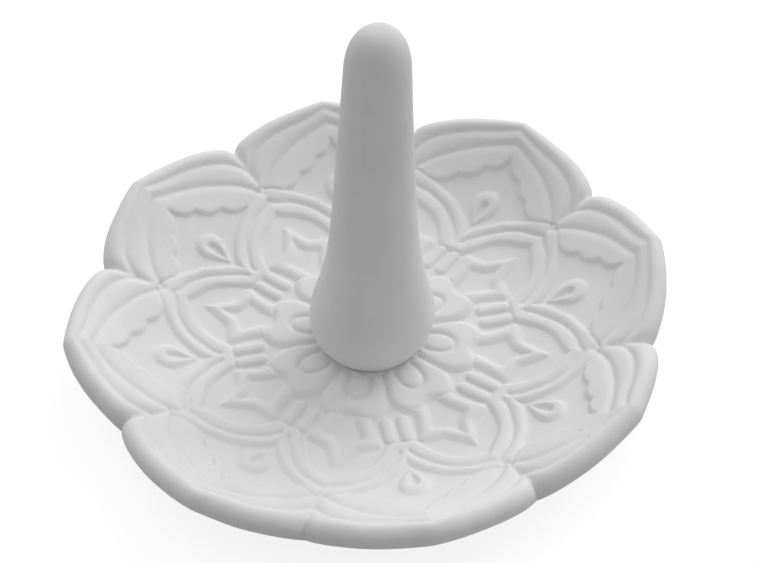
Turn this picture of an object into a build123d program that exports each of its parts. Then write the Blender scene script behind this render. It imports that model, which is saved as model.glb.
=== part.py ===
from build123d import *
from math import asin, atan2, cos, degrees, radians, sin
import os

# Outline of the dish: eight petals with blunt points, parted by notches
petal_count = 8
tip_radius = 60.0
notch_inset = 4.2

# Radial sections across one petal: their places from notch to notch, and how far each reaches to the tip
section_shares = (-1.0, -0.75, -0.5, -0.25, 0.0, 0.25, 0.5, 0.75, 1.0)
lobe_shares = (0.0, 0.41, 0.63, 0.82, 1.0, 0.82, 0.63, 0.41, 0.0)

# Hollow of the dish: a flat floor, a curve up to the collar inside the notches, and a slope to the lip
floor_thickness = 5.0
flat_radius = 24.0
collar_inset = 10.8
collar_height = 5.1
tip_crest_height = 13.2
notch_crest_height = 8.8

# Underside: a low round foot, a curve under the hollow's and a slope to the lip
foot_radius = 31.0
foot_height = 1.0
under_flat_radius = 28.0
under_collar_inset = 8.8
wall_thickness = 3.6

# Rounded lip
lip_thickness = 5.3
lip_rounding = 2.3

# Carving: how deep it goes, how wide its lines are, and how far the middle flower stands over the floor
relief_depth = 0.8
groove_width = 1.0
flower_lift = 0.2

# Carved lines of one petal, as shares of the half petal's angle and of the tip's radius
border_shares = ((0.0, 0.926), (0.5, 0.883), (1.06, 0.8))
band_shares = ((0.013, 0.547), (0.33, 0.663), (1.06, 0.757))

# Sunk field inside the bands, down to the star that stands on the notch line
field_edge_shares = ((0.36, 0.49), (0.68, 0.61), (1.06, 0.658))
star_tip_shares = ((1.06, 0.618), (0.86, 0.562), (0.698, 0.523))
star_waist_share = (0.71, 0.5)
star_corner_share = (0.39, 0.474)

# Sunk heart of the star, open towards the middle of the dish
heart_point_shares = ((1.06, 0.538), (0.889, 0.472), (0.667, 0.457))
heart_side_share = (0.667, 0.34)

# Sunk field on the petal's axis, and the two bars that stand in it
bar_field_shares = ((0.44, 0.34), (0.333, 0.472), (0.0, 0.492))
bar_place_share = (0.164, 0.4175)
bar_length = 6.5
bar_width = 2.4

# Middle of the dish: the petals' inner edge, the plain core, and the flower's leaves with their loops
middle_radius = 21.6
core_radius = 22.0
petal_root_radius = 18.0
petal_root_height = 3.0
flower_core_radius = 12.0
leaf_notch_share = 0.339
leaf_lobe_shares = ((0.34, 0.359), (0.62, 0.353))
leaf_side_shares = ((0.84, 0.325), (0.935, 0.295))
leaf_base_share = (0.9, 0.185)
loop_radius = 2.5
loop_center_share = 0.245
loop_root_share = 0.18

# Post that holds the rings: it leans a little, swells to a bulb above its flat foot, and ends in a dome
post_height = 77.5
post_lean = 2.6
post_lean_turn = -18.0
post_foot_radius = 10.6
post_bulb_radius = 12.5
post_waist_radius = 11.6
post_shoulder_radius = 8.5
post_dome_radius = 5.9
post_bulb_share = 0.077
post_waist_share = 0.147
post_shoulder_share = 0.38

# Thin bond that holds the post on the dish
bond_thickness = 0.3
bond_inset = 0.6

# Overrun of the cutting shapes past the faces they cut
overrun = 2.0

half_petal = 180.0 / petal_count
notch_radius = tip_radius - notch_inset
collar_radius = notch_radius - collar_inset
under_collar_radius = notch_radius - under_collar_inset
floor_height = floor_thickness
floor_edge = (flat_radius, floor_height)
collar = (collar_radius, floor_height + collar_height)
foot_edge = (under_flat_radius, foot_height)
under_collar = (under_collar_radius, floor_height + collar_height - wall_thickness)
seat_height = floor_height + flower_lift
post_base_height = seat_height + bond_thickness


def blend(on_notch, on_tip, lobe):
    """A value between the notch line's and the petal axis's"""
    return on_notch + (on_tip - on_notch) * lobe


def spot(share):
    """A point of the plan, from its shares of the half petal's angle and of the tip's radius"""
    angle = radians(share[0] * half_petal)
    return (tip_radius * share[1] * cos(angle), tip_radius * share[1] * sin(angle))


def touch_slope(start, center, rounding):
    """Slope in degrees of the line from a point to a circle: over it, or under it for a negative radius"""
    reach = Vector(*center) - Vector(*start)
    return degrees(atan2(reach.Y, reach.X) + asin(rounding / reach.length))


# One petal of the dish, lofted through its radial sections from notch to notch
with BuildPart() as petal:
    for section, lobe in zip(section_shares, lobe_shares):
        turn = radians(section * half_petal)
        rim_radius = blend(notch_radius, tip_radius, lobe)
        crest_height = floor_height + blend(notch_crest_height, tip_crest_height, lobe)
        lip_center = (rim_radius - lip_rounding, crest_height - lip_rounding)
        under_center = (rim_radius - lip_rounding, crest_height - lip_thickness + lip_rounding)
        slope = touch_slope(collar, lip_center, lip_rounding)
        under_slope = touch_slope(under_collar, under_center, -lip_rounding)
        along, across = (cos(turn), sin(turn), 0), (sin(turn), -cos(turn), 0)
        with BuildSketch(Plane(origin=(0, 0, 0), x_dir=along, z_dir=across)):
            with BuildLine():
                lip = CenterArc(lip_center, lip_rounding, 90 + slope, -90 - slope)
                under_lip = CenterArc(under_center, lip_rounding, 0, under_slope - 90)
                Line(lip @ 1, under_lip @ 0)
                TangentArc(floor_edge, collar, tangent=(1, 0))
                Line(collar, lip @ 0)
                TangentArc(foot_edge, under_collar, tangent=(1, 0))
                Line(under_collar, under_lip @ 1)
                Polyline(
                    floor_edge,
                    (middle_radius, floor_height),
                    (middle_radius, petal_root_height),
                    (petal_root_radius, petal_root_height),
                    (petal_root_radius, foot_height),
                    foot_edge,
                )
            make_face()
    loft(ruled=True)

# What is carved out of one petal: one half's fields and lines, mirrored
with BuildSketch() as carved_field:
    with BuildLine():
        edge = ThreePointArc(*[spot(share) for share in field_edge_shares])
        tip = ThreePointArc(*[spot(share) for share in star_tip_shares])
        Polyline(tip @ 1, spot(star_waist_share), spot(star_corner_share), edge @ 0)
        Line(edge @ 1, tip @ 0)
    make_face()
    with BuildLine():
        point = ThreePointArc(*[spot(share) for share in heart_point_shares])
        heart_mouth = (heart_point_shares[0][0], heart_side_share[1])
        Polyline(point @ 1, spot(heart_side_share), spot(heart_mouth), point @ 0)
    make_face()
    with BuildLine():
        bar_field_root = (tip_radius * bar_field_shares[0][1], 0)
        Polyline(*[spot(share) for share in bar_field_shares], bar_field_root, close=True)
    make_face()
    with Locations(Location((*spot(bar_place_share), 0), (0, 0, bar_place_share[0] * half_petal))):
        Rectangle(bar_length, bar_width, mode=Mode.SUBTRACT)
    for shares in (border_shares, band_shares):
        with BuildLine() as groove:
            ThreePointArc(*[spot(share) for share in shares])
        trace(groove.line, line_width=groove_width)
    mirror(about=Plane.XZ)

# Petal with its carving, which keeps an even depth under the hollow's surface
with BuildPart() as relief:
    add(carved_field.sketch)
    extrude(amount=floor_height + tip_crest_height + overrun)
    add(petal.part.moved(Location((0, 0, -relief_depth))), mode=Mode.SUBTRACT)
with BuildPart() as carved_petal:
    add(petal.part)
    add(relief.part, mode=Mode.SUBTRACT)

# One leaf of the middle flower, with the loop carved in it
with BuildSketch() as leaf:
    with BuildLine():
        notch = (tip_radius * leaf_notch_share, 0)
        lobe_edge = ThreePointArc(notch, *[spot(share) for share in leaf_lobe_shares])
        side = ThreePointArc(lobe_edge @ 1, *[spot(share) for share in leaf_side_shares])
        leaf_root = spot(leaf_base_share)
        Polyline(side @ 1, leaf_root, (leaf_root[0], 0), notch)
    make_face()
    with BuildLine() as loop:
        loop_top = CenterArc((tip_radius * loop_center_share, 0), loop_radius, 0, 90)
        Line(loop_top @ 1, (tip_radius * loop_root_share, loop_radius))
    trace(loop.line, line_width=groove_width, mode=Mode.SUBTRACT)
    mirror(about=Plane.XZ)

# Middle of the dish: its round foot, its plain core and the flower
with BuildPart() as middle:
    with BuildSketch():
        Circle(foot_radius)
    extrude(amount=foot_height + foot_height)
    with BuildSketch():
        Circle(core_radius)
    extrude(amount=seat_height - relief_depth)
    with BuildSketch(Plane.XY.offset(seat_height - relief_depth)):
        Circle(flower_core_radius)
        with PolarLocations(0, petal_count, start_angle=half_petal):
            add(leaf.sketch)
    extrude(amount=relief_depth)

with BuildPart() as dish:
    add(middle.part)
    with PolarLocations(0, petal_count):
        add(carved_petal.part)
dish.part.label = "dish"

# Post, turned about its leaning axis and cut level where it stands on the bond
lean, turn = radians(post_lean), radians(post_lean_turn)
lean_across = (cos(lean) * cos(turn), cos(lean) * sin(turn), -sin(lean))
lean_plane = Plane(origin=(0, 0, post_base_height), x_dir=lean_across, z_dir=(sin(turn), -cos(turn), 0))
with BuildPart() as ring_post:
    with BuildSketch(lean_plane):
        with BuildLine():
            bulge = (post_bulb_radius, post_height * post_bulb_share)
            waist = (post_waist_radius, post_height * post_waist_share)
            shoulder = (post_shoulder_radius, post_height * post_shoulder_share)
            bulb = ThreePointArc((post_foot_radius, 0), bulge, waist)
            neck = TangentArc(waist, shoulder, tangent=bulb % 1)
            dome = CenterArc((0, post_height - post_dome_radius), post_dome_radius, 0, 90)
            Line(neck @ 1, dome @ 0)
            Polyline(dome @ 1, (0, -overrun), (post_foot_radius, -overrun), bulb @ 0)
        make_face()
    revolve(axis=Axis(lean_plane.origin, lean_plane.y_dir))
    split(bisect_by=Plane.XY.offset(post_base_height), keep=Keep.TOP)
ring_post.part.label = "ring_post"

# Bond between the dish and the post
with BuildPart() as bond_layer:
    with BuildSketch(Plane.XY.offset(seat_height)):
        Circle(post_foot_radius - bond_inset)
    extrude(amount=bond_thickness)
bond_layer.part.label = "bond_layer"

os.makedirs("parts", exist_ok=True)
export_step(dish.part, "parts/dish.step")
export_step(ring_post.part, "parts/ring_post.step")
export_step(bond_layer.part, "parts/bond_layer.step")
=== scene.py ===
import logging
import math
from dataclasses import dataclass
from enum import Enum
from typing import Any, Callable, Sequence

import bmesh
import bpy
import numpy as np
from mathutils import Matrix, Vector


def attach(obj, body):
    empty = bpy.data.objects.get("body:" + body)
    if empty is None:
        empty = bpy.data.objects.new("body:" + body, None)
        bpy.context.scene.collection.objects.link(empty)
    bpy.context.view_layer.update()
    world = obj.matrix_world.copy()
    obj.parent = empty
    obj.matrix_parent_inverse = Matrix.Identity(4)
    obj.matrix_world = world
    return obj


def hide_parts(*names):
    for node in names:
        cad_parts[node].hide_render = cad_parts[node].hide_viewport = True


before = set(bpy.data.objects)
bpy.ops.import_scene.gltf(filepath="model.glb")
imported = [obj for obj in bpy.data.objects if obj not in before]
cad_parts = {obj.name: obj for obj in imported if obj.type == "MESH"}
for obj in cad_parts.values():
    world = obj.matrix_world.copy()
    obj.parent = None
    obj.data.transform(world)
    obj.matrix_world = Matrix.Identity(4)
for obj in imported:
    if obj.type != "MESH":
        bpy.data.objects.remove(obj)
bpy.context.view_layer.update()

LOG = logging.getLogger("ring_dish")

MM = 0.001
PETALS = 8
MARKS = 2 * PETALS
HALF_PETAL = 180.0 / PETALS
PHOTO_WIDTH = 760
SENSOR_WIDTH = 36.0
MERGE_DISTANCE = 0.002 * MM
FAR = 1e9
TINY = 1e-9
WHITE = (1.0, 1.0, 1.0, 1.0)

# Carving: share of a shoulder that lies outside its line, how the shoulders curve, and how blunt grooves are
EDGE_OUTSIDE = 0.35
EDGE_POWER = 1.3
EDGE_CROWN = 1.3
GROOVE_POWER = 1.5

# Radii in mm over which the outer pattern begins, and ends
PATTERN_START = (20.0, 34.0)
PATTERN_END = (55.0, 48.0)

Field = np.ndarray
Points = Sequence[tuple[float, float]]
Rows = list[tuple[Field, Field]]
Span = tuple[float, float]
Triple = tuple[float, float, float]


# Lines and outlines in the dish's plan


def on_plan(points: Points) -> Field:
    """Plan places in mm of points given as (degrees off the petal's axis, radius in mm)."""
    return np.array([(r * math.cos(math.radians(u)), r * math.sin(math.radians(u))) for u, r in points])


def flowing(points: Points, steps: int = 6) -> Field:
    """Smooth line through given points.

    Args:
        points: Places as (degrees off the petal's axis, radius in mm).
        steps: Pieces in each span.

    Returns:
        Plan places in mm, one row each.
    """
    flat = on_plan(points)
    padded = np.vstack([2 * flat[0] - flat[1], flat, 2 * flat[-1] - flat[-2]])
    out = []
    for before, start, end, after in zip(padded, padded[1:], padded[2:], padded[3:]):
        for t in np.linspace(0.0, 1.0, steps, endpoint=False):
            bend = (2 * before - 5 * start + 4 * end - after) * t * t
            swing = (3 * start - before - 3 * end + after) * t**3
            out.append(0.5 * (2 * start + (end - before) * t + bend + swing))
    out.append(flat[-1])
    return np.array(out)


def mirrored(line: Field, axis_degrees: float) -> Field:
    """Closed outline made of a half line and its mirror image.

    Args:
        line: Half of the outline, in plan mm.
        axis_degrees: Direction of the mirror line through the centre.

    Returns:
        The whole outline.
    """
    double = 2 * math.radians(axis_degrees)
    turn = np.array([[math.cos(double), math.sin(double)], [math.sin(double), -math.cos(double)]])
    return np.vstack([line, (line @ turn.T)[::-1]])


def distance(line: Field, x: Field, y: Field) -> Field:
    """Distance from each place to a polyline.

    Args:
        line: The polyline's plan places in mm.
        x: Places along the petal's axis.
        y: Places across it.

    Returns:
        The distances in mm.
    """
    best = np.full(x.shape, FAR)
    for (ax, ay), (bx, by) in zip(line[:-1], line[1:]):
        dx, dy = bx - ax, by - ay
        size = dx * dx + dy * dy
        if size > 0:
            t = np.clip(((x - ax) * dx + (y - ay) * dy) / size, 0.0, 1.0)
            np.minimum(best, (x - ax - t * dx) ** 2 + (y - ay - t * dy) ** 2, out=best)
    return np.sqrt(best)


def depth_inside(outline: Field, x: Field, y: Field) -> Field:
    """Distance into a closed outline: above zero inside it, below zero outside.

    Args:
        outline: The outline's plan places in mm.
        x: Places along the petal's axis.
        y: Places across it.

    Returns:
        The signed distances in mm.
    """
    ring = np.vstack([outline, outline[:1]])
    odd = np.zeros(x.shape, bool)
    for (ax, ay), (bx, by) in zip(ring[:-1], ring[1:]):
        if ay != by:
            odd ^= ((ay > y) != (by > y)) & (x < (bx - ax) * (y - ay) / (by - ay) + ax)
    away = distance(ring, x, y)
    return np.where(odd, away, -away)


def ramp(low: float, high: float, value: Field) -> Field:
    """Smooth ramp from 0 to 1.

    Args:
        low: Value at which it is 0.
        high: Value at which it is 1. It may be the lower of the two.
        value: Values to work out.

    Returns:
        The share at each value.
    """
    share = np.clip((value - low) / (high - low), 0.0, 1.0)
    return share * share * (3.0 - 2.0 * share)


def soft_edge(inside: Field, width: float) -> Field:
    """Soft shoulder of the carving, from 0 outside an outline to 1 inside it.

    Args:
        inside: Distances into the outline in mm.
        width: Width of the shoulder in mm.

    Returns:
        The share of the full height at each place.
    """
    share = np.clip(inside / width + EDGE_OUTSIDE, 0.0, 1.0)
    return share**EDGE_POWER * (1.0 + EDGE_CROWN * (1.0 - share))


def soft_groove(away: Field, half_width: float) -> Field:
    """Depth share of a groove with a narrow bottom, from the distances to its line."""
    return np.exp(-((away / half_width) ** GROOVE_POWER))


def on_pattern(amount: float, radius: Field) -> Field:
    """Amount that holds over the outer pattern and fades out towards the middle flower and the rim."""
    return amount * ramp(*PATTERN_START, radius) * ramp(*PATTERN_END, radius)


def smooth_between(value: Field, marks: Field, levels: Field) -> Field:
    """Values that pass smoothly from each mark's level to the next one's.

    Args:
        value: Places to work out.
        marks: Rising places of the marks.
        levels: Level at each mark.

    Returns:
        The level at each place.
    """
    spot = np.interp(value, marks, np.arange(len(marks)))
    before = np.clip(spot.astype(int), 0, len(marks) - 2)
    share = ramp(0.0, 1.0, spot - before)
    return levels[before] * (1.0 - share) + levels[before + 1] * share


# Nodes


def operator(operation: str, swapped: bool = False) -> Callable[["Wire", Any], "Wire"]:
    """Operator of a wire and another value.

    Args:
        operation: Blender's name of the operation.
        swapped: Whether the other value comes first.

    Returns:
        The method.
    """

    def apply(wire: "Wire", other: Any) -> "Wire":
        """Output of the Math node that works on the two."""
        return wire.maths(operation, other, wire) if swapped else wire.maths(operation, wire, other)

    return apply


class Wire:
    """Output of a node that carries a number. The usual operators add Math nodes."""

    __add__ = operator("ADD")
    __radd__ = operator("ADD", swapped=True)
    __sub__ = operator("SUBTRACT")
    __rsub__ = operator("SUBTRACT", swapped=True)
    __mul__ = operator("MULTIPLY")
    __rmul__ = operator("MULTIPLY", swapped=True)
    __truediv__ = operator("DIVIDE")
    __rtruediv__ = operator("DIVIDE", swapped=True)
    __pow__ = operator("POWER")
    at_most = operator("MINIMUM")
    at_least = operator("MAXIMUM")

    def __init__(self, bench: "Bench", socket: bpy.types.NodeSocket) -> None:
        """Wraps an output, with the bench that makes its further nodes."""
        self.bench = bench
        self.socket = socket

    def maths(self, operation: str, *values: Any) -> "Wire":
        """Output of a Math node that works on the values in their order, or on this wire alone."""
        sockets = dict(enumerate(values or (self,)))
        return self.bench.node("ShaderNodeMath", {"operation": operation}, sockets)

    def ramp(self, low: float, high: float) -> "Wire":
        """Smooth ramp from 0 at low to 1 at high."""
        sockets = {"Value": self, "From Min": low, "From Max": high}
        return self.bench.node("ShaderNodeMapRange", {"interpolation_type": "SMOOTHSTEP"}, sockets)


class Bench:
    """Makes the nodes of one tree."""

    def __init__(self, tree: bpy.types.NodeTree) -> None:
        """Keeps the tree that gets the nodes."""
        self.tree = tree

    def node(
        self, kind: str, settings: dict[str, Any], sockets: dict[Any, Any], output: Any = 0
    ) -> Wire | None:
        """Adds a node.

        Args:
            kind: Blender's name of the node's type.
            settings: What is set first: its properties, and "points" for a curve's listed points.
            sockets: Values or wires for its inputs, by name or number.
            output: Name or number of the output to use.

        Returns:
            That output, or nothing for a node that ends a tree.
        """
        made = self.tree.nodes.new(kind)
        for name, value in settings.items():
            if name == "points":
                curve = made.mapping.curves[0]
                for place, spot in zip((0, -1), (value[0], value[-1])):
                    curve.points[place].location = spot
                for spot in value[1:-1]:
                    curve.points.new(*spot)
                made.mapping.update()
            else:
                setattr(made, name, value)
        for name, value in sockets.items():
            if isinstance(value, Wire):
                self.tree.links.new(value.socket, made.inputs[name])
            else:
                made.inputs[name].default_value = value
        return Wire(self, made.outputs[output]) if len(made.outputs) else None

    def mix_colors(self, factor: Any, first: Any, second: Any) -> Wire:
        """Colour between two colours or wires, by a factor from 0 for the first to 1 for the second."""
        return self.node("ShaderNodeMix", {"data_type": "RGBA"}, {0: factor, 6: first, 7: second}, 2)


def emptied(owner: Any) -> Bench:
    """Bench for the nodes of a material or a world, which loses those that it has.

    Args:
        owner: The material or the world.

    Returns:
        The bench.
    """
    owner.use_nodes = True
    owner.node_tree.nodes.clear()
    return Bench(owner.node_tree)


class ShapeTree:
    """Geometry Nodes tree with named inputs, and the modifier that runs it on an object."""

    def __init__(self, name: str, inputs: dict[str, str]) -> None:
        """Starts the tree.

        Args:
            name: Name of the tree.
            inputs: Type of each input after the geometry, by its name.
        """
        self.tree = bpy.data.node_groups.new(name, "GeometryNodeTree")
        self.tree.interface.new_socket("Geometry", in_out="INPUT", socket_type="NodeSocketGeometry")
        self.names = {
            name: self.tree.interface.new_socket(name, in_out="INPUT", socket_type=kind).identifier
            for name, kind in inputs.items()
        }
        self.tree.interface.new_socket("Geometry", in_out="OUTPUT", socket_type="NodeSocketGeometry")
        self.bench = Bench(self.tree)
        self.given = self.tree.nodes.new("NodeGroupInput")
        self.end = self.tree.nodes.new("NodeGroupOutput")

    def take(self, name: str) -> Wire:
        """Input of the tree, by its name."""
        return Wire(self.bench, self.given.outputs[name])

    def wander(self, shape: Wire, steady: Any) -> Wire:
        """Shape with its points moved a little, as a hand-made mould has them.

        Args:
            shape: Shape to move.
            steady: 1 where points may move freely, 0 where they stay.

        Returns:
            The moved shape.
        """
        make = self.bench.node
        place = make("GeometryNodeInputPosition", {}, {})
        seed, scale = self.take("Seed"), self.take("Wander Scale")
        sockets = {"Vector": place, "W": seed, "Scale": scale, "Detail": 1.0}
        noise = make("ShaderNodeTexNoise", {"noise_dimensions": "4D"}, sockets, "Color")
        centred = make("ShaderNodeVectorMath", {"operation": "SUBTRACT"}, {0: noise, 1: (0.5, 0.5, 0.5)})
        size = self.take("Wander") * steady
        offset = make("ShaderNodeVectorMath", {"operation": "SCALE"}, {0: centred, "Scale": size})
        return make("GeometryNodeSetPosition", {}, {"Geometry": shape, "Offset": offset})

    def close(self, shape: Wire) -> None:
        """Ends the tree in plain geometry with its finish.

        Args:
            shape: Finished shape.
        """
        real = self.bench.node("GeometryNodeRealizeInstances", {}, {"Geometry": shape})
        sockets = {"Geometry": real, "Material": self.take("Finish")}
        done = self.bench.node("GeometryNodeSetMaterial", {}, sockets)
        self.tree.links.new(done.socket, self.end.inputs[0])

    def modifier(self, piece: bpy.types.Object, values: dict[str, Any]) -> None:
        """Runs the tree on an object.

        Args:
            piece: Object to work on.
            values: Value of each input, by its name.
        """
        added = piece.modifiers.new(self.tree.name, "NODES")
        added.node_group = self.tree
        for name, value in values.items():
            added[self.names[name]] = value


def petal_ring_tree() -> ShapeTree:
    """Tree that sets copies of one petal round the middle and joins them.

    Returns:
        The tree. Above the foot its points wander a little.
    """
    steady_foot = (1.5 * MM, 4.0 * MM)
    shape = ShapeTree("petal_ring", {
        "Petals": "NodeSocketInt", "Wander": "NodeSocketFloat", "Wander Scale": "NodeSocketFloat",
        "Seed": "NodeSocketFloat", "Finish": "NodeSocketMaterial",
    })
    make = shape.bench.node
    spots = make("GeometryNodePoints", {}, {"Count": shape.take("Petals")})
    turn = make("GeometryNodeInputIndex", {}, {}) * (2 * math.pi) / shape.take("Petals")
    rotation = make("ShaderNodeCombineXYZ", {}, {"Z": turn})
    sockets = {"Points": spots, "Instance": shape.take("Geometry"), "Rotation": rotation}
    copies = make("GeometryNodeInstanceOnPoints", {}, sockets)
    real = make("GeometryNodeRealizeInstances", {}, {"Geometry": copies})
    joined = make("GeometryNodeMergeByDistance", {}, {"Geometry": real, "Distance": MERGE_DISTANCE})
    height = make("ShaderNodeSeparateXYZ", {}, {0: make("GeometryNodeInputPosition", {}, {})}, "Z")
    shape.close(shape.wander(joined, height.ramp(*steady_foot)))
    return shape


def turned_tree(outline: Points) -> ShapeTree:
    """Tree that wraps a grid round an axis into a turned form with a domed top.

    Args:
        outline: Given points of the outline, as (share of the height, share of the radius).

    Returns:
        The tree.
    """
    row_power, rounding_error, steady_foot = 1.8, 0.001, (0.0, 2.0 * MM)
    number, size = "NodeSocketInt", "NodeSocketFloat"
    shape = ShapeTree("turned_form", {
        "Around": number, "Rows": number, "Height": size, "Radius": size, "Base": size,
        "Lean": size, "Lean Turn": size, "Dome Start": size, "Dome Power": size,
        "Wander": size, "Wander Scale": size, "Seed": size, "Finish": "NodeSocketMaterial",
    })
    make, take = shape.bench.node, shape.take
    sockets = {"Size X": 1.0, "Size Y": 1.0, "Vertices X": take("Around"), "Vertices Y": take("Rows")}
    grid = make("GeometryNodeMeshGrid", {}, sockets)
    place = make("GeometryNodeInputPosition", {}, {})
    across = make("ShaderNodeSeparateXYZ", {}, {0: place}, "X") + 0.5
    row = (make("ShaderNodeSeparateXYZ", {}, {0: place}, "Y") + 0.5) * (take("Rows") - 1.0)
    share = 1.0 - (1.0 - (row - 1.0).at_least(0.0) / (take("Rows") - 2.0)) ** row_power
    width = make("ShaderNodeFloatCurve", {"points": outline}, {"Value": share})
    domed = ((share - take("Dome Start")) / (1.0 - take("Dome Start"))).at_least(0.0).at_most(1.0)
    closed = (1.0 - domed ** take("Dome Power")).at_least(0.0) ** (1.0 / take("Dome Power"))
    off_pole = (row + rounding_error).at_most(1.0).maths("FLOOR")
    radius = take("Radius") * width * closed * off_pole
    height = take("Height") * share
    turn = across * (2 * math.pi)
    slant = height * take("Lean").maths("TANGENT")
    x = radius * turn.maths("COSINE") + slant * take("Lean Turn").maths("COSINE")
    y = radius * turn.maths("SINE") + slant * take("Lean Turn").maths("SINE")
    spot = make("ShaderNodeCombineXYZ", {}, {"X": x, "Y": y, "Z": height + take("Base")})
    wrapped = make("GeometryNodeSetPosition", {}, {"Geometry": grid, "Position": spot})
    joined = make("GeometryNodeMergeByDistance", {}, {"Geometry": wrapped, "Distance": MERGE_DISTANCE})
    level = make("ShaderNodeSeparateXYZ", {}, {0: make("GeometryNodeInputPosition", {}, {})}, "Z")
    shape.close(shape.wander(joined, (level - take("Base")).ramp(*steady_foot)))
    return shape


def link_mesh(name: str, mesh: bpy.types.Mesh) -> bpy.types.Object:
    """New object of a mesh, in the scene.

    Args:
        name: Name of the object.
        mesh: Its mesh.

    Returns:
        The object.
    """
    piece = bpy.data.objects.new(name, mesh)
    bpy.context.scene.collection.objects.link(piece)
    return piece


def turned_piece(name: str, outline: Points, values: dict[str, Any]) -> bpy.types.Object:
    """New closed turned piece.

    Args:
        name: Name of the piece.
        outline: Given points of its outline, as (share of the height, share of the radius).
        values: Value of each input of its tree, by name.

    Returns:
        The piece.
    """
    piece = link_mesh(name, bpy.data.meshes.new(name))
    turned_tree(outline).modifier(piece, values)
    bake(piece)
    return piece


def bake(piece: bpy.types.Object) -> None:
    """Turns an object's modifiers into its plain mesh, with smooth faces that point outwards.

    Args:
        piece: Object to finish.
    """
    seen = piece.evaluated_get(bpy.context.evaluated_depsgraph_get())
    mesh = bpy.data.meshes.new_from_object(seen)
    mesh.name = piece.name
    piece.modifiers.clear()
    piece.data = mesh
    form = bmesh.new()
    form.from_mesh(mesh)
    bmesh.ops.recalc_face_normals(form, faces=form.faces)
    form.to_mesh(mesh)
    form.free()
    mesh.polygons.foreach_set("use_smooth", [True] * len(mesh.polygons))
    mesh.update()


# Finishes


class Slot(Enum):
    """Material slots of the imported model."""

    BISQUE = "bisque"
    POST_BISQUE = "post_bisque"
    BOND = "bond"


@dataclass(frozen=True)
class Bisque:
    """Unglazed cast finish: a matt pale body with fine grain, faint clouds and some pinholes. Sizes in mm."""

    name: str
    slot: Slot
    light: Triple
    dark: Triple
    roughness: float = 0.86
    grain_roughness: float = 0.12
    cloud_roughness: float = 0.08
    gloss: float = 0.3
    cloud_size: float = 14.0
    cloud_detail: float = 3.0
    cloud_share: float = 0.75
    shade_span: Span = (0.3, 0.7)
    fine_detail: float = 2.0
    grain_size: float = 0.35
    grain_depth: float = 0.012
    noise_roughness: float = 0.55
    uneven_size: float = 5.0
    uneven_depth: float = 0.05
    pinhole_spacing: float = 4.2
    pinhole_depth: float = 0.12
    pinhole_edge: Span = (0.02, 0.05)
    pinhole_rarity: Span = (0.55, 0.6)
    # Painted shade in the pinholes: how far their colour is darkened, and how much of that darkening is laid
    # on
    painted_hole_shade: float = 0.8
    painted_hole_shade_share: float = 0.6

    def material(self) -> bpy.types.Material:
        """Builds the node material.

        Returns:
            The material.
        """
        made = bpy.data.materials.new(self.name)
        bench = emptied(made)
        make = bench.node
        place = make("ShaderNodeTexCoord", {}, {}, "Object")
        clouds = self.noise(bench, place, self.cloud_size, self.cloud_detail)
        grain = self.noise(bench, place, self.grain_size, self.fine_detail)
        uneven = self.noise(bench, place, self.uneven_size, self.fine_detail)
        hole = self.pinholes(bench, place)
        shade = (clouds * self.cloud_share + grain * (1.0 - self.cloud_share)).ramp(*self.shade_span)
        color = bench.mix_colors(shade, (*self.dark, 1.0), (*self.light, 1.0))
        # Painted shade: the colour inside the pinholes is darkened, as shade falls in them
        painted_hole_color = tuple(self.painted_hole_shade * channel for channel in self.dark)
        color = bench.mix_colors(hole * self.painted_hole_shade_share, color, (*painted_hole_color, 1.0))
        relief = uneven * self.uneven_depth + grain * self.grain_depth - hole * self.pinhole_depth
        bump = make("ShaderNodeBump", {}, {"Strength": 1.0, "Distance": MM, "Height": relief})
        rough = self.roughness + (grain - 0.5) * self.grain_roughness - (clouds - 0.5) * self.cloud_roughness
        shader = make("ShaderNodeBsdfPrincipled", {}, {
            "Base Color": color, "Roughness": rough, "Normal": bump, "Specular IOR Level": self.gloss,
        })
        make("ShaderNodeOutputMaterial", {}, {"Surface": shader})
        return made

    def pinholes(self, bench: Bench, place: Wire) -> Wire:
        """Small round holes at a few of many scattered spots.

        Args:
            bench: Maker of the nodes.
            place: Coordinates.

        Returns:
            1 in a hole and 0 elsewhere.
        """
        make = bench.node
        sockets = {"Vector": place, "Scale": 1.0 / (self.pinhole_spacing * MM), "Randomness": 1.0}
        away = make("ShaderNodeTexVoronoi", {"feature": "F1"}, sockets, "Distance")
        chance = make("ShaderNodeTexVoronoi", {}, sockets, "Color")
        rare = make("ShaderNodeSeparateXYZ", {}, {0: chance}, "X").ramp(*self.pinhole_rarity)
        return (1.0 - away.ramp(*self.pinhole_edge)) * rare

    def noise(self, bench: Bench, place: Wire, size: float, detail: float) -> Wire:
        """Noise whose features are of about a size.

        Args:
            bench: Maker of the nodes.
            place: Coordinates.
            size: Size of the features in mm.
            detail: Finer layers over them.

        Returns:
            The noise, around 0.5.
        """
        scale, rough = 1.0 / (size * MM), self.noise_roughness
        sockets = {"Vector": place, "Scale": scale, "Detail": detail, "Roughness": rough}
        return bench.node("ShaderNodeTexNoise", {"noise_dimensions": "3D"}, sockets)

    def dress(self, piece: bpy.types.Object, node: str) -> None:
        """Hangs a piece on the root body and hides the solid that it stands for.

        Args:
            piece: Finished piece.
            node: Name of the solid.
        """
        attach(piece, "root")
        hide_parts(node)


DISH_FINISH = Bisque("dish_bisque", Slot.BISQUE, (0.80, 0.80, 0.80), (0.75, 0.75, 0.75))
POST_FINISH = Bisque("post_bisque", Slot.POST_BISQUE, (0.77, 0.77, 0.77), (0.72, 0.72, 0.72))
BOND_FINISH = Bisque("bond_filler", Slot.BOND, (0.70, 0.70, 0.70), (0.62, 0.62, 0.62), roughness=0.6)


# Pieces


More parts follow.
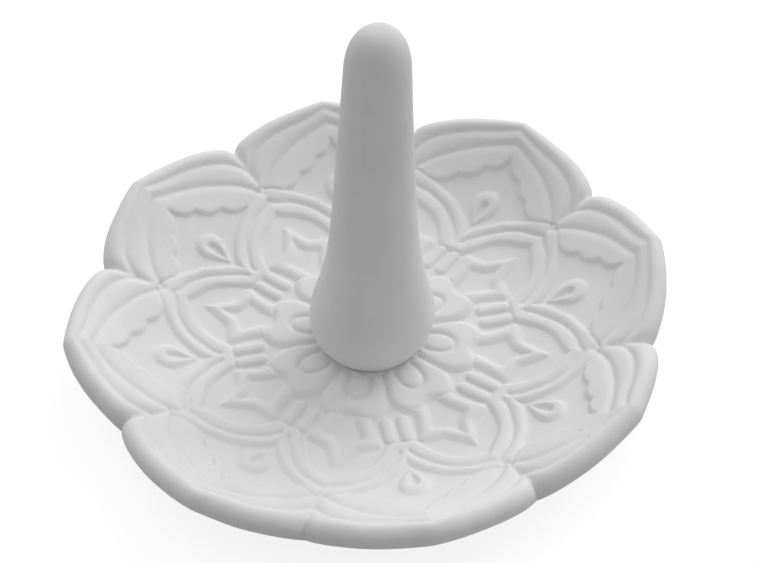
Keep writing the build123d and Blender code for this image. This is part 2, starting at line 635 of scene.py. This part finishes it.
@dataclass
class Ground:
    """Places of the plan that the carving is worked out for. Lengths in mm."""

    x: Field
    y: Field
    radius: Field

    def into(self, line: Field) -> Field:
        """Distance into an outline across the petal's axis, from its half on one side of that."""
        return depth_inside(mirrored(line, 0.0), self.x, self.y)

    def into_wedge(self, points: Points, steps: int = 6) -> Field:
        """Distance into an outline from the centre round the line between two petals, from its half."""
        outline = np.vstack([mirrored(flowing(points, steps), HALF_PETAL), np.zeros((1, 2))])
        return depth_inside(outline, self.x, self.y)

    def groove(self, points: Points, half_width: float) -> Field:
        """Depth share of a groove along a line through given points."""
        return soft_groove(distance(flowing(points), self.x, self.y), half_width)


@dataclass
class Relief:
    """Carved pattern of one petal. Sizes in mm, points as (degrees off the petal's axis, radius in mm).

    An outer petal's axis is at 0 degrees. The line between two of them, on which the inner petals and
    the leaves of the middle flower stand, is at half a petal's angle. Each edge is the width of that
    form's soft shoulder, and each groove is a share of the depth.
    """

    depth: float = 0.8
    lift: float = 0.2
    draw_in: float = 0.3
    rim_line: Points = (
        (23.2, 48.2), (21.9, 49.8), (18.9, 52.0), (14.6, 53.4), (9.5, 54.4), (4.5, 55.2), (0.0, 56.6),
    )
    inner_rim_line: Points = (
        (22.5, 44.6), (19.9, 46.4), (16.5, 48.4), (10.6, 50.8), (5.5, 52.4), (1.9, 53.4), (0.0, 54.0),
    )
    rim_groove: float = 0.8
    rim_half_width: float = 0.7
    step_ends: Points = ((16.4, 43.6), (0.0, 51.2))
    step_teeth: int = 3
    step_tooth: float = 0.8
    step_pieces: int = 12
    step_edge: float = 1.0
    border_start: float = 40.0
    band_inner: Points = (
        (-8.0, 28.9), (0.0, 28.9), (4.2, 29.0), (5.7, 29.6), (7.3, 31.1), (10.0, 33.6), (12.7, 35.5),
        (16.0, 37.0), (19.5, 38.2), (22.5, 39.6),
    )
    band_middle: Points = (
        (1.7, 31.6), (3.4, 33.2), (6.5, 35.3), (9.2, 37.2), (12.1, 38.8), (16.3, 40.6), (20.0, 41.5),
        (22.5, 42.5),
    )
    band_outer: Points = (
        (-8.0, 29.0), (-1.5, 33.0), (0.0, 33.9), (0.9, 35.0), (3.1, 36.6), (6.0, 38.3), (8.6, 39.9),
        (11.3, 41.0), (15.5, 42.9), (19.0, 44.5), (22.5, 45.8),
    )
    band_edge: float = 1.3
    band_groove: float = 0.8
    band_half_width: float = 0.62
    drop: Points = ((0.0, 36.7), (1.3, 37.8), (3.0, 39.5), (3.8, 41.2), (3.3, 42.8), (1.8, 43.8), (0.0, 44.2))
    drop_edge: float = 1.5
    slit: Points = ((0.0, 37.2), (0.7, 38.3), (1.2, 39.6), (1.3, 40.8), (0.9, 41.7), (0.0, 42.0))
    slit_span: Span = (-0.5, 0.7)
    bar_ends: Points = ((4.1, 23.2), (3.4, 27.7))
    bar_half_width: float = 1.42
    bar_power: float = 2.6
    star: Points = (
        (11.0, 20.8), (11.2, 22.6), (10.6, 24.4), (9.0, 26.9), (7.7, 28.7), (8.9, 29.5), (12.9, 29.9),
        (15.4, 30.2), (17.2, 30.8), (20.2, 33.3), (22.5, 35.4),
    )
    heart: Points = (
        (18.2, 20.4), (17.9, 22.1), (16.8, 23.9), (15.2, 25.8), (14.3, 27.3), (17.4, 28.2), (19.4, 28.8),
        (20.6, 29.7), (22.5, 31.7),
    )
    star_steps: int = 4
    star_root: float = 21.6
    star_edge: float = 1.8
    leaf: Points = (
        (1.8, 9.0), (1.4, 14.6), (1.9, 17.6), (3.6, 19.4), (7.0, 20.9), (10.5, 21.8), (15.0, 21.8),
        (18.5, 20.9), (22.5, 20.4),
    )
    leaf_edge: float = 1.8
    core_span: Span = (11.4, 10.4)
    loop: Points = ((13.0, 9.0), (12.2, 12.2), (13.4, 14.6), (16.4, 16.2), (19.6, 16.9), (22.5, 17.1))
    loop_groove: float = 0.85
    loop_half_width: float = 0.6
    loop_span: Span = (10.6, 11.6)
    crease_span: Span = (45.0, 47.5)
    crease_depth: float = 0.45
    crease_lip_depth: float = 0.55
    crease_lip_span: Span = (50.0, 55.0)
    crease_half_width: float = 0.9

    def step_line(self) -> Field:
        """Scalloped step in front of the rim's lines.

        Returns:
            Plan places in mm, from the notch side to the petal's tip.
        """
        start, end = on_plan(self.step_ends)
        along = end - start
        across = np.array([along[1], -along[0]]) / np.linalg.norm(along)
        t = np.linspace(0.0, 1.0, self.step_pieces * self.step_teeth + 1)
        wave = np.abs(np.sin(math.pi * self.step_teeth * t)) * self.step_tooth
        return start + t[:, None] * along + wave[:, None] * across

    def outer_petal(self, ground: Ground) -> Field:
        """What stands up on an outer petal: its grooved band, its border and the drop with the slit.

        Args:
            ground: Places to work out.

        Returns:
            The raised share at each place.
        """
        outer_edge, inner_edge = ground.into_wedge(self.band_outer), ground.into_wedge(self.band_inner)
        band = soft_edge(np.minimum(outer_edge, -inner_edge), self.band_edge)
        grooved = ground.groove(self.band_middle, self.band_half_width)
        band = band - self.band_groove * grooved * (band > 0)
        outer_line, step = flowing(self.band_outer), self.step_line()
        off_axis = outer_line[:, 1] / outer_line[:, 0]
        before_step = (off_axis >= 0.0) & (off_axis < step[0, 1] / step[0, 0])
        sunk = ground.into(np.vstack([outer_line[before_step], step]))
        border = soft_edge(np.minimum(-outer_edge, -sunk), self.step_edge)
        border = border * (ground.radius > self.border_start)
        drop = soft_edge(ground.into(flowing(self.drop)), self.drop_edge)
        drop = drop - ramp(*self.slit_span, ground.into(flowing(self.slit)))
        return np.maximum.reduce([band, border, drop])

    def inner_petal(self, ground: Ground) -> Field:
        """What stands up inside the bands: the star round its heart, and the bars beside it.

        Args:
            ground: Places to work out.

        Returns:
            The raised share at each place.
        """
        into_star = ground.into_wedge(self.star, self.star_steps)
        into_heart = ground.into_wedge(self.heart, self.star_steps)
        star = np.minimum(np.minimum(into_star, -into_heart), ground.radius - self.star_root)
        bar = distance(on_plan(self.bar_ends), ground.x, ground.y) / self.bar_half_width
        bar = 1.0 - np.clip(bar, 0.0, 1.0) ** self.bar_power
        return np.maximum(soft_edge(star, self.star_edge), bar)

    def flower(self, ground: Ground) -> Field:
        """The middle flower's leaves and its core, which stand a little over the rest.

        Args:
            ground: Places to work out.

        Returns:
            The raised share at each place.
        """
        leaf = soft_edge(ground.into_wedge(self.leaf), self.leaf_edge)
        core = ramp(*self.core_span, ground.radius)
        return np.maximum(leaf, core) * (1.0 + self.lift / self.depth)

    def grooves(self, ground: Ground) -> Field:
        """The rim's two lines and the loops in the flower's leaves.

        Args:
            ground: Places to work out.

        Returns:
            The share of the carving's depth that they add at each place.
        """
        lines = (self.rim_line, self.inner_rim_line)
        rim = self.rim_groove * np.maximum(*(ground.groove(line, self.rim_half_width) for line in lines))
        loop = self.loop_groove * ground.groove(self.loop, self.loop_half_width)
        return np.maximum(rim, loop * ramp(*self.loop_span, ground.radius))

    def height(self, degrees: Field, radius: Field) -> Field:
        """Height of the carved surface over the plain hollow.

        Args:
            degrees: Angles off the nearest petal's axis, from 0 to half a petal.
            radius: Radii in mm.

        Returns:
            Heights in mm.
        """
        turn = np.radians(degrees)
        radius = radius + on_pattern(self.draw_in, radius)
        ground = Ground(radius * np.cos(turn), radius * np.sin(turn), radius)
        raised = np.maximum.reduce([self.outer_petal(ground), self.inner_petal(ground), self.flower(ground)])
        return self.depth * (raised - 1.0 - self.grooves(ground)) + self.crease(degrees, radius)

    def crease(self, degrees: Field, radius: Field) -> Field:
        """Crease between two petals, which is deeper on the lip.

        Args:
            degrees: Angles off the nearest petal's axis.
            radius: Radii in mm.

        Returns:
            Its depths in mm, below zero.
        """
        away = radius * np.sin(np.radians(HALF_PETAL - degrees))
        depth = self.crease_depth + self.crease_lip_depth * ramp(*self.crease_lip_span, radius)
        return -depth * soft_groove(away, self.crease_half_width) * ramp(*self.crease_span, radius)


@dataclass
class Dish:
    """Scalloped dish of eight turned petals with a rolled lip and a low foot. Sizes in mm.

    The turns, in degrees, and the reaches are those of the petals' tips and of the notches by turns,
    from the tip on +X on. Each span holds the radii over which something begins.
    """

    relief: Relief
    turns: Sequence[float] = (
        0.2, 0.0, -1.6, 1.7, -0.3, -0.7, 1.0, -1.0, 0.0, -2.0, 1.6, -0.8, 0.0, 0.3, -0.3, -0.4,
    )
    turn_span: Span = (12.0, 50.0)
    lip_turns: Sequence[float] = (
        1.9, 0.0, 1.4, 0.8, 0.0, 0.0, 0.0, 0.0, 0.0, 0.0, 0.0, 0.0, 0.0, 0.0, 2.4, 2.0,
    )
    lip_turn_span: Span = (53.0, 58.0)
    reaches: Sequence[float] = (
        0.8, 1.1, 0.3, -1.9, -0.2, 1.0, 0.7, 0.6, 0.9, -0.5, -0.5, -0.5, -0.3, -0.6, -0.5, 0.2,
    )
    reach_span: Span = (42.0, 58.0)
    drift: float = 0.45
    lobe_shape: Sequence[tuple[float, int]] = ((0.72, 1), (0.01, 2), (0.27, 6))
    floor: float = 5.0
    flat_radius: float = 24.0
    collar_radius: float = 45.0
    collar_height: float = 5.1
    tip_radius: float = 60.0
    notch_radius: float = 55.8
    tip_crest: float = 13.2
    notch_crest: float = 8.8
    lip_thickness: float = 5.3
    lip_rounding: float = 2.3
    foot_radius: float = 31.0
    foot_height: float = 1.0
    foot_rounding: float = 0.3
    foot_gap: float = 0.4
    foot_middle: float = 20.0
    under_flat: float = 28.0
    under_collar: float = 47.0
    wall: float = 3.6
    core_radii: Sequence[float] = (0.0, 4.0, 7.5)
    carved_start: float = 9.0
    around: int = 960
    rows: int = 196
    lip_rows: int = 10
    carved_lip_rows: int = 4
    under_lip_rows: int = 8
    under_slope_rows: int = 4
    under_bowl_rows: int = 8
    under_crease_rows: float = 11.0
    triangles: int = 188000
    wander: float = 0.85
    wander_size: float = 17.0
    seed: float = 3.0

    def lobe(self, degrees: Field) -> Field:
        """How far an angle off the petal's axis is from the notch's form, 0, to the tip's, 1."""
        share = degrees / HALF_PETAL
        return 1.0 - sum(part * share**power for part, power in self.lobe_shape)

    def profile(self, lobe: Field) -> tuple[Field, Field]:
        """Section of the dish from the middle of the hollow over the lip to the middle of the underside.

        Args:
            lobe: For each direction, how far it is towards a tip's form.

        Returns:
            Radii and heights in mm, a row for each place on the section and a column for each direction.
        """
        crest_r = self.notch_radius + (self.tip_radius - self.notch_radius) * lobe - self.lip_rounding
        crest_z = self.notch_crest + (self.tip_crest - self.notch_crest) * lobe
        rows, slope = self.hollow(crest_r, crest_z)
        for t in np.linspace(0.0, 1.0, self.lip_rows + 1)[1:]:
            rows.append(self.on_lip(crest_r, crest_z - self.lip_rounding, (math.pi / 2 + slope) * (1 - t)))
        rows += self.underside(crest_r, crest_z)
        radii, heights = (np.array(values) for values in zip(*rows))
        return radii, heights + self.floor

    def on_lip(self, middle_r: Field, middle_z: Field, angle: Field) -> tuple[Field, Field]:
        """Row on one of the lip's two roundings, at an angle over the level from their middle."""
        rounding = self.lip_rounding
        return middle_r + rounding * np.cos(angle), middle_z + rounding * np.sin(angle)

    def hollow(self, crest_r: Field, crest_z: Field) -> tuple[Rows, Field]:
        """Rows of the hollow: its flat middle, the curve up to the collar and the curve on to the lip.

        Args:
            crest_r: Radius of the middle of the lip's rounding, for each direction.
            crest_z: Height of the lip.

        Returns:
            The rows, and the angle at which they reach the lip, found by halving a span of angles.
        """
        steepest, halvings, rounding = 1.3, 30, self.lip_rounding
        width = self.collar_radius - self.flat_radius
        bowl = width**2 / (2 * self.collar_height) + self.collar_height / 2
        start_slope = math.tan(math.asin(width / bowl))
        low, high = np.zeros(crest_r.shape), np.full(crest_r.shape, steepest)
        for _ in range(halvings):
            slope = (low + high) / 2
            run = crest_r - rounding * np.sin(slope) - self.collar_radius
            rise = crest_z - rounding * (1 - np.cos(slope)) - self.collar_height
            short = run * (start_slope + np.tan(slope)) / 2 < rise
            low, high = np.where(short, slope, low), np.where(short, high, slope)
        bend = (np.tan(slope) - start_slope) / (2 * run)
        rows = [(np.full(crest_r.shape, r), np.zeros(crest_r.shape)) for r in self.core_radii]
        reach = crest_r - rounding * np.sin(slope)
        for t in np.linspace(0.0, 1.0, self.rows):
            r = self.carved_start + (reach - self.carved_start) * t
            past = np.clip(r - self.flat_radius, 0.0, width)
            beyond = np.clip(r - self.collar_radius, 0.0, None)
            z = bowl - np.sqrt(bowl**2 - past**2)
            rows.append((r, z + beyond * start_slope + bend * beyond**2))
        return rows, slope

    def underside(self, crest_r: Field, crest_z: Field) -> Rows:
        """Rows of the lip's lower rounding, the slope below it, the curve below the hollow and the foot.

        Args:
            crest_r: Radius of the middle of the lip's rounding, for each direction.
            crest_z: Height of the lip.

        Returns:
            The rows.
        """
        under_z = crest_z - self.lip_thickness + self.lip_rounding
        collar_z = self.collar_height - self.wall
        run, rise = crest_r - self.under_collar, under_z - collar_z
        slope = np.arctan2(rise, run) - np.arcsin(self.lip_rounding / np.hypot(rise, run))
        steps = np.linspace(0.0, 1.0, self.under_lip_rows)
        rows = [self.on_lip(crest_r, under_z, (slope - math.pi / 2) * t) for t in steps]
        end_r, end_z = rows[-1]
        for t in np.linspace(0.0, 1.0, self.under_slope_rows + 1)[1:]:
            rows.append((end_r + (self.under_collar - end_r) * t, end_z + (collar_z - end_z) * t))
        base_z = self.foot_height - self.floor
        drop = collar_z - base_z
        arch = (self.under_collar - self.under_flat) ** 2 / (2 * drop) + drop / 2
        past_foot = self.foot_radius + self.foot_gap
        even = [
            (r, base_z + arch - math.sqrt(arch**2 - (r - self.under_flat) ** 2))
            for r in np.linspace(self.under_collar, past_foot, self.under_bowl_rows + 1)[1:]
        ]
        even += [
            (self.foot_radius, base_z), (self.foot_radius, -self.floor + self.foot_rounding),
            (self.foot_radius - self.foot_rounding, -self.floor), (self.foot_middle, -self.floor),
            (0.0, -self.floor),
        ]
        return rows + [(np.full(crest_r.shape, r), np.full(crest_r.shape, z)) for r, z in even]

    def wedge(self) -> bpy.types.Mesh:
        """Mesh of one petal from notch to notch, open at its two sides, with its axis along X.

        Returns:
            The mesh, in metres.
        """
        columns = self.around // PETALS
        degrees = np.linspace(-HALF_PETAL, HALF_PETAL, columns + 1)
        off_axis = np.abs(degrees)
        radii, heights = self.profile(self.lobe(off_axis))
        carved = len(self.core_radii) + self.rows + self.carved_lip_rows
        rise = np.zeros(radii.shape)
        spread = np.broadcast_to(off_axis, radii[:carved].shape)
        rise[:carved] = self.relief.height(spread, radii[:carved])
        rows_past = np.arange(len(radii) - carved)[:, None]
        fading = ramp(self.under_crease_rows, 0.0, rows_past)
        rise[carved:] = self.relief.crease(off_axis[None, :], radii[carved:]) * fading
        out_r, out_z = np.gradient(radii, axis=0), np.gradient(heights, axis=0)
        length = np.maximum(np.hypot(out_r, out_z), TINY)
        moved_r = radii - rise * out_z / length
        moved_z = heights + rise * out_r / length
        moved_r[0], moved_r[-1] = 0.0, 0.0
        turn = np.radians(degrees)
        places = np.stack([moved_r * np.cos(turn), moved_r * np.sin(turn), moved_z], -1) * MM
        index = np.arange(radii.size).reshape(radii.shape)
        corners = [index[:-1, :-1], index[1:, :-1], index[1:, 1:], index[:-1, 1:]]
        faces = np.stack(corners, -1).reshape(-1, len(corners))
        mesh = bpy.data.meshes.new("petal")
        mesh.from_pydata(places.reshape(-1, 3).tolist(), [], faces.tolist())
        return mesh

    def build(self, material: bpy.types.Material) -> bpy.types.Object:
        """The whole dish as one closed piece that stands for the dish's solid.

        Args:
            material: Finish of the dish.

        Returns:
            The dish.
        """
        piece = link_mesh("dish_body", self.wedge())
        count = 2 * PETALS * len(piece.data.polygons)
        petal_ring_tree().modifier(piece, {
            "Petals": PETALS, "Wander": self.wander * MM, "Wander Scale": 1.0 / (self.wander_size * MM),
            "Seed": self.seed, "Finish": material,
        })
        thin = piece.modifiers.new("fewer_faces", "DECIMATE")
        thin.ratio = min(1.0, self.triangles / count)
        bake(piece)
        self.settle(piece.data)
        return piece

    def settle(self, mesh: bpy.types.Mesh) -> None:
        """Moves the petals a little off their even places, as a hand-made mould has them.

        Args:
            mesh: Mesh of the whole dish.
        """
        places = np.zeros(len(mesh.vertices) * 3)
        mesh.vertices.foreach_get("co", places)
        places = places.reshape(-1, 3)
        radius = np.hypot(places[:, 0], places[:, 1])
        degrees = np.degrees(np.arctan2(places[:, 1], places[:, 0]))
        marks = np.arange(-1, MARKS + 2)
        turn, lip_turn, reach = (
            smooth_between(degrees % 360.0, marks * HALF_PETAL, np.array(values)[marks % MARKS])
            for values in (self.turns, self.lip_turns, self.reaches)
        )
        away = radius / MM
        turn = turn * ramp(*self.turn_span, away) + lip_turn * ramp(*self.lip_turn_span, away)
        angle = np.radians(degrees + turn)
        radius = radius + reach * MM * ramp(*self.reach_span, away)
        places[:, 0], places[:, 1] = radius * np.cos(angle), radius * np.sin(angle)
        places[:, 0] += on_pattern(self.drift * MM, radius / MM)
        mesh.vertices.foreach_set("co", places.reshape(-1))
        mesh.update()


@dataclass
class RingPost:
    """Turned post for the rings: a bulb above its foot, a long taper and a domed top. Lengths in mm."""

    outline: Points = (
        (0.0, 10.6), (1.5, 11.4), (3.0, 12.0), (4.5, 12.4), (6.0, 12.5), (8.0, 12.3), (10.5, 11.8),
        (13.4, 11.0), (17.2, 10.15), (23.0, 9.15), (30.6, 8.35), (40.2, 7.65), (51.7, 7.0), (63.2, 6.3),
        (70.8, 5.9), (77.5, 5.5),
    )
    height: float = 77.5
    widest: float = 12.5
    base: float = 5.5
    lean: float = 2.6
    lean_turn: float = -18.0
    dome_start: float = 69.0
    dome_power: float = 2.4
    around: int = 160
    rows: int = 170
    wander: float = 0.5
    wander_size: float = 24.0
    seed: float = 7.0

    def build(self, material: bpy.types.Material) -> bpy.types.Object:
        """The post as one closed turned piece.

        Args:
            material: Finish of the post.

        Returns:
            The post.
        """
        shares = tuple((place / self.height, radius / self.widest) for place, radius in self.outline)
        return turned_piece("post_body", shares, {
            "Around": self.around + 1, "Rows": self.rows,
            "Height": self.height * MM, "Radius": self.widest * MM, "Base": self.base * MM,
            "Lean": math.radians(self.lean), "Lean Turn": math.radians(self.lean_turn),
            "Dome Start": self.dome_start / self.height, "Dome Power": self.dome_power,
            "Wander": self.wander * MM, "Wander Scale": 1.0 / (self.wander_size * MM),
            "Seed": self.seed, "Finish": material,
        })


@dataclass
class Bond:
    """Thin squeezed layer of filler that holds the post on the dish. Lengths in mm, its outline in shares."""

    outline: Points = ((0.0, 0.98), (0.5, 1.0), (1.0, 0.98))
    radius: float = 10.0
    base: float = 5.2
    thickness: float = 0.3
    dome_start: float = 0.6
    dome_power: float = 6.0
    around: int = 96
    rows: int = 14

    def build(self, material: bpy.types.Material) -> bpy.types.Object:
        """The layer as a thin closed cake with a rounded edge.

        Args:
            material: Finish of the filler.

        Returns:
            The layer.
        """
        return turned_piece("bond_cake", self.outline, {
            "Around": self.around + 1, "Rows": self.rows,
            "Height": self.thickness * MM, "Radius": self.radius * MM, "Base": self.base * MM,
            "Dome Start": self.dome_start, "Dome Power": self.dome_power, "Finish": material,
        })


# Studio


@dataclass
class Studio:
    """Camera, floor and light. Lengths in mm and angles in degrees, in the part's frame.

    Each of the sides is a light's strength and the direction that it comes from. Each span is how far
    over the level, as a share of straight up, a light begins and is whole.
    """

    target: Triple = (4.3, 13.7, 5.2)
    distance: float = 356.3
    elevation: float = 46.5
    azimuth: float = -9.15
    roll: float = -2.35
    focal_pixels: float = 1706.0
    clip: Span = (10.0, 20000.0)
    key_azimuth: float = 38.0
    key_elevation: float = 40.0
    key_angle: float = 42.0
    key_power: float = 0.74
    overhead: float = 0.94
    overhead_span: Span = (0.55, 0.95)
    sides: Sequence[tuple[float, Triple]] = (
        (0.8, (1.0, 0.0, 0.0)), (0.3, (-1.0, 0.0, 0.0)), (1.3, (0.0, 1.0, 0.0)),
    )
    side_span: Span = (-0.02, 0.05)
    side_power: float = 1.5
    floor_size: float = 2400.0
    grain_scale: float = 900.0
    paper_dark: float = 0.62
    paper_light: float = 0.66
    shown_paper: float = 0.3
    shown_glow: float = 0.82

    def camera(self) -> None:
        """Sets the camera at the photograph's angle, and the plain view."""
        bpy.context.scene.view_settings.view_transform = "Standard"
        turn, rise, tilt = (math.radians(angle) for angle in (self.azimuth, self.elevation, self.roll))
        back = Vector((math.sin(turn) * math.cos(rise), -math.cos(turn) * math.cos(rise), math.sin(rise)))
        right = Vector((math.cos(turn), math.sin(turn), 0.0))
        up = back.cross(right)
        right, up = right * math.cos(tilt) + up * math.sin(tilt), up * math.cos(tilt) - right * math.sin(tilt)
        data = bpy.data.cameras.new("camera")
        data.sensor_width = SENSOR_WIDTH
        data.lens = self.focal_pixels * SENSOR_WIDTH / PHOTO_WIDTH
        data.clip_start, data.clip_end = (away * MM for away in self.clip)
        eye = bpy.data.objects.new("camera", data)
        bpy.context.scene.collection.objects.link(eye)
        spot = (Vector(self.target) + back * self.distance) * MM
        eye.matrix_world = Matrix.Translation(spot) @ Matrix((right, up, back)).transposed().to_4x4()
        bpy.context.scene.camera = eye

    def seen_by_camera(self, bench: Bench) -> Wire:
        """Tells what is seen, directly or in a mirror or glass, from what only lights the object.

        Args:
            bench: Maker of the nodes.

        Returns:
            1 for what is seen and 0 for the rest.
        """
        seen = bench.node("ShaderNodeLightPath", {}, {}, "Is Camera Ray")
        for ray in ("Is Glossy Ray", "Is Transmission Ray"):
            seen = seen.at_least(bench.node("ShaderNodeLightPath", {}, {}, ray))
        return seen

    def light(self) -> None:
        """Sets the soft key lamp, and the soft light from above, from the back and from both sides."""
        lamp = bpy.data.lights.new("key", "SUN")
        lamp.energy = self.key_power
        lamp.angle = math.radians(self.key_angle)
        key = bpy.data.objects.new("key", lamp)
        turn, rise = math.radians(self.key_azimuth), math.radians(self.key_elevation)
        out = Vector((math.cos(turn) * math.cos(rise), math.sin(turn) * math.cos(rise), math.sin(rise)))
        key.rotation_euler = out.to_track_quat("Z", "Y").to_euler()
        bpy.context.scene.collection.objects.link(key)
        world = bpy.data.worlds.new("studio")
        bpy.context.scene.world = world
        bench = emptied(world)
        place = bench.node("ShaderNodeTexCoord", {}, {}, "Generated")
        height = bench.node("ShaderNodeSeparateXYZ", {}, {0: place}, "Z")
        above = height.ramp(*self.overhead_span)
        level = above * self.overhead
        for strength, side in self.sides:
            sockets = {0: place, 1: side}
            facing = bench.node("ShaderNodeVectorMath", {"operation": "DOT_PRODUCT"}, sockets, "Value")
            beside = (1.0 - above) * height.ramp(*self.side_span)
            level = level + beside * facing.at_least(0.0) ** self.side_power * strength
        around = bench.node("ShaderNodeBackground", {}, {"Color": WHITE, "Strength": level})
        behind = bench.node("ShaderNodeBackground", {}, {"Color": WHITE, "Strength": 1.0})
        mixed = bench.node("ShaderNodeMixShader", {}, {0: self.seen_by_camera(bench), 1: around, 2: behind})
        bench.node("ShaderNodeOutputWorld", {}, {"Surface": mixed})

    def floor(self) -> None:
        """Lays the pale floor, which the camera sees as white but for the object's soft shadow."""
        half = self.floor_size * MM / 2
        mesh = bpy.data.meshes.new("floor")
        corners = [(-half, -half, 0.0), (half, -half, 0.0), (half, half, 0.0), (-half, half, 0.0)]
        mesh.from_pydata(corners, [], [(0, 1, 2, 3)])
        floor = link_mesh("floor", mesh)
        made = bpy.data.materials.new("floor_paper")
        bench = emptied(made)
        place = bench.node("ShaderNodeTexCoord", {}, {}, "Object")
        sockets = {"Vector": place, "Scale": self.grain_scale, "Detail": 2.0}
        grain = bench.node("ShaderNodeTexNoise", {}, sockets)
        dark, light, shown = (
            (level, level, level, 1.0) for level in (self.paper_dark, self.paper_light, self.shown_paper)
        )
        matt = bench.node("ShaderNodeBsdfDiffuse", {}, {"Color": bench.mix_colors(grain, dark, light)})
        faint = bench.node("ShaderNodeBsdfDiffuse", {}, {"Color": shown})
        glow = bench.node("ShaderNodeEmission", {}, {"Color": WHITE, "Strength": self.shown_glow})
        bright = bench.node("ShaderNodeAddShader", {}, {0: faint, 1: glow})
        mixed = bench.node("ShaderNodeMixShader", {}, {0: self.seen_by_camera(bench), 1: matt, 2: bright})
        bench.node("ShaderNodeOutputMaterial", {}, {"Surface": mixed})
        mesh.materials.append(made)


def main() -> None:
    """Builds the dish, its post and the bond, reports them, and sets the studio round them."""
    logging.basicConfig(level=logging.INFO, format="%(name)s %(message)s")
    parts = {
        "dish": (Dish(Relief()), DISH_FINISH), "ring_post": (RingPost(), POST_FINISH),
        "bond_layer": (Bond(), BOND_FINISH),
    }
    for node, (part, finish) in parts.items():
        piece = part.build(finish.material())
        finish.dress(piece, node)
        LOG.info("%s: %d faces", piece.name, len(piece.data.polygons))
    studio = Studio()
    studio.floor()
    studio.light()
    studio.camera()


if __name__ == "__main__":
    main()
